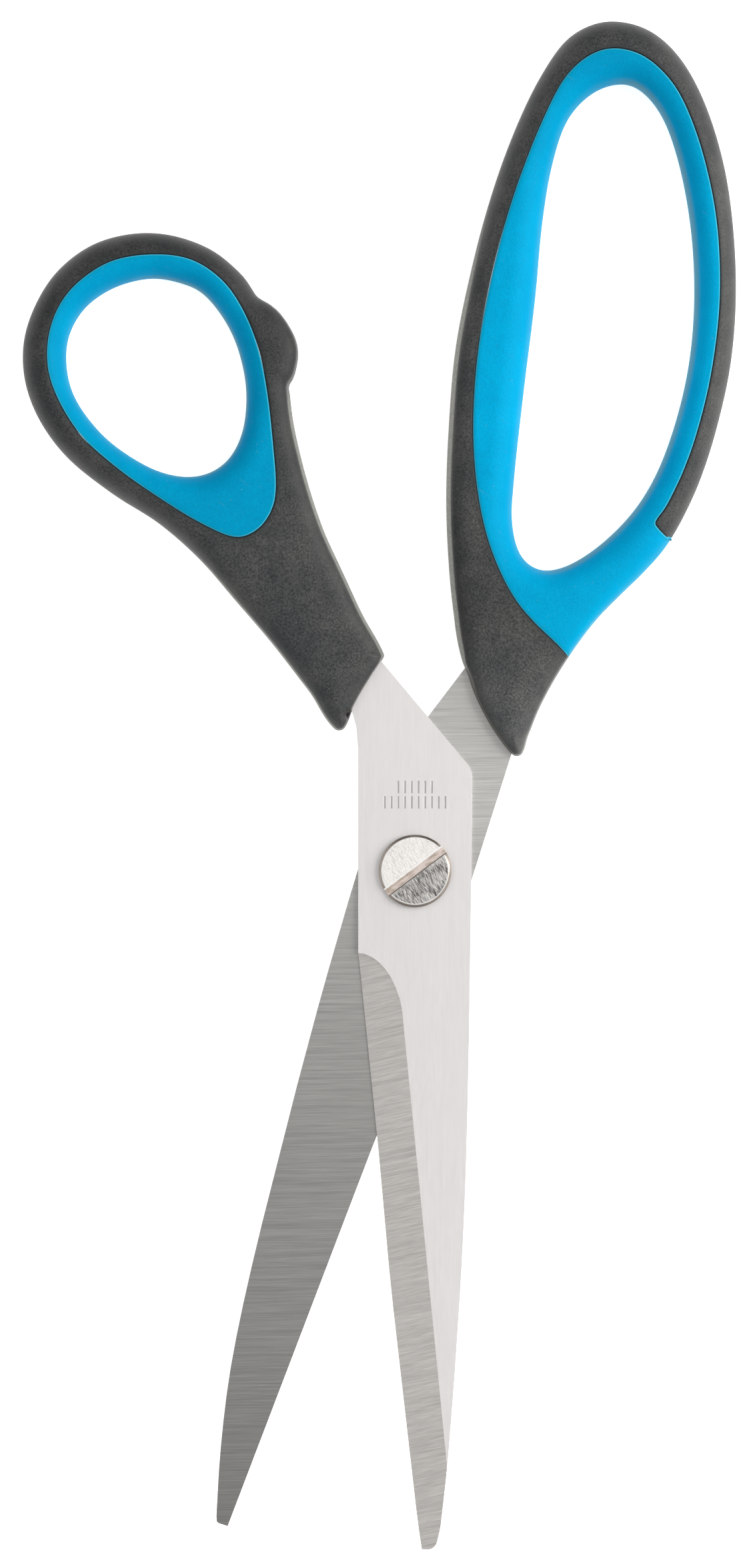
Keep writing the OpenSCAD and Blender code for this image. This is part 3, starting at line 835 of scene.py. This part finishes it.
def start_on_seam(loop, other):
    """The loop turned so that its points on the other loop come first, and their number."""
    shared = nearest(loop, other)[0] < SHARED
    first = next(i for i in range(len(loop)) if shared[i] and not shared[i - 1])
    return np.roll(loop, -first, 0), int(shared.sum())


hard, hard_shared = start_on_seam(hard, soft)
soft, soft_shared = start_on_seam(soft, hard)
seam_line, _ = smooth(hard[:hard_shared], False)
hard_rim = np.vstack([hard[hard_shared - 1 :], hard[:1]])
soft_rim = np.vstack([soft[soft_shared - 1 :], soft[:1]])
finger_rim, places = smooth(np.vstack([hard_rim[:-1], soft_rim[:-1]]), True)
split = places[len(hard_rim) - 1]
hard_part = finger_rim[: split + 1]
soft_part = np.vstack([finger_rim[split:], finger_rim[:1]])
finger_hole, _ = smooth(finger_hole, True)
finger = Half(finger_rim, finger_hole[::-1], seam_line, False, finger_walls)


def joined(rim_part, seam_part):
    """A closed loop of a rim part and the seam that leads back to its start."""
    loop = np.vstack([rim_part, seam_part[1:-1]])
    on_seam = np.arange(len(loop)) >= len(rim_part)
    return np.where(on_seam[:, None], shrunk(loop), loop), on_seam


shell("finger_handle_shell", finger, [joined(hard_part, seam_line)],
      black_finger, "finger_half", "finger_handle")
shell("finger_grip_shell", finger,
      [joined(soft_part, seam_line[::-1]), (finger_hole, flags(finger_hole, False))],
      blue_finger, "finger_half", "finger_grip")

# ---- steel parts ----


def finish_node(name, material, bevel):
    """Eases the edges of a CAD node and gives it its material."""
    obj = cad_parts[name]
    obj.data.materials.clear()
    obj.data.materials.append(material)
    weld = obj.modifiers.new("weld", "WELD")
    weld.merge_threshold = 0.0005 * MM
    flatten = obj.modifiers.new("flatten", "DECIMATE")  # joins the triangles of a flat face
    flatten.decimate_type = "DISSOLVE"
    flatten.angle_limit = math.radians(0.5)
    soften = obj.modifiers.new("soften", "BEVEL")
    soften.width = bevel * MM
    soften.segments = 2
    soften.limit_method = "ANGLE"
    soften.angle_limit = math.radians(32)
    soften.harden_normals = False
    obj.modifiers.new("normals", "WEIGHTED_NORMAL").keep_sharp = True


finish_node("front_blade", front_steel, 0.06)
finish_node("back_blade", back_steel, 0.06)
finish_node("pivot_screw", screw_metal(), 0.14)
finish_node("pivot_nut", nickel, 0.12)
finish_node("spring_washer", nickel, 0.06)

# ---- floor, light and camera, in metres ----

FLOOR_SIZE = 4
FLOOR_DROP = 0.05 * MM  # gap that keeps the floor's face apart from the handles' lowest points


def floor():
    """A plain pale floor that also glows, so that it stays white under soft light."""
    material = bpy.data.materials.new("floor")
    material.use_nodes = True
    shader = material.node_tree.nodes["Principled BSDF"]
    shader.inputs["Base Color"].default_value = (0.9, 0.9, 0.9, 1)
    shader.inputs["Roughness"].default_value = 0.9
    shader.inputs["Specular IOR Level"].default_value = 0.1
    shader.inputs["Emission Color"].default_value = (1, 1, 1, 1)
    shader.inputs["Emission Strength"].default_value = 0.75
    bm = bmesh.new()
    bmesh.ops.create_grid(bm, x_segments=1, y_segments=1, size=FLOOR_SIZE)
    mesh = bpy.data.meshes.new("floor")
    bm.to_mesh(mesh)
    bm.free()
    mesh.materials.append(material)
    obj = bpy.data.objects.new("floor", mesh)
    obj.location.z = -FLOOR_DROP
    bpy.context.scene.collection.objects.link(obj)


def softbox(name, place, size, power, colour=(1, 1, 1)):
    """A soft light that points at the part's origin."""
    light = bpy.data.lights.new(name, "AREA")
    light.color = colour
    light.shape = "RECTANGLE"
    light.size, light.size_y = size
    light.energy = power
    obj = bpy.data.objects.new(name, light)
    obj.location = place
    obj.rotation_euler = (-Vector(place)).to_track_quat("-Z", "Y").to_euler()
    bpy.context.scene.collection.objects.link(obj)


# Sky brightness against the sine of the height over the horizon
SKY = ((0.0, 0.36), (0.3, 0.38), (0.62, 0.5), (0.85, 0.66), (0.97, 0.68), (1.0, 0.66))


def sky():
    """A dim band round the horizon under a brighter ceiling."""
    world = bpy.data.worlds.new("studio")
    world.use_nodes = True
    tree = world.node_tree
    up = add(tree, "SeparateXYZ", {0: add(tree, "TexCoord").outputs["Generated"]}).outputs[2]
    ramp_node = add(tree, "ValToRGB", {0: up})
    stops = ramp_node.color_ramp.elements
    for k, (place, level) in enumerate(SKY):
        stop = stops[k] if k < 2 else stops.new(place)
        stop.position = place
        stop.color = (level, level, level, 1)
    background = tree.nodes["Background"]
    tree.links.new(ramp_node.outputs[0], background.inputs[0])
    background.inputs[1].default_value = 1.0
    bpy.context.scene.world = world


floor()
sky()
softbox("right_box", (0.85, 0.2, 0.95), (0.5, 1.2), 9.0)
softbox("low_right_box", (1.3, 0.2, 0.5), (0.3, 1.4), 8.0, (1, 0.95, 0.87))
softbox("left_box", (-1.0, 0.1, 1.0), (0.5, 1.6), 0.6)
bpy.context.scene.view_settings.view_transform = "Standard"

VIEW_CENTRE = (-0.3 * MM, 0.2 * MM)
VIEW_HEIGHT = 256.6 * MM  # height of what the camera sees in the plane where the blades slide
camera_data = bpy.data.cameras.new("camera")
camera_data.sensor_width = 36
camera_data.lens = 190
distance = VIEW_HEIGHT * camera_data.lens / camera_data.sensor_width
camera = bpy.data.objects.new("camera", camera_data)
camera.location = (*VIEW_CENTRE, MID_Z * MM + distance)
camera_data.clip_start, camera_data.clip_end = 0.01, 20
bpy.context.scene.collection.objects.link(camera)
bpy.context.scene.camera = camera
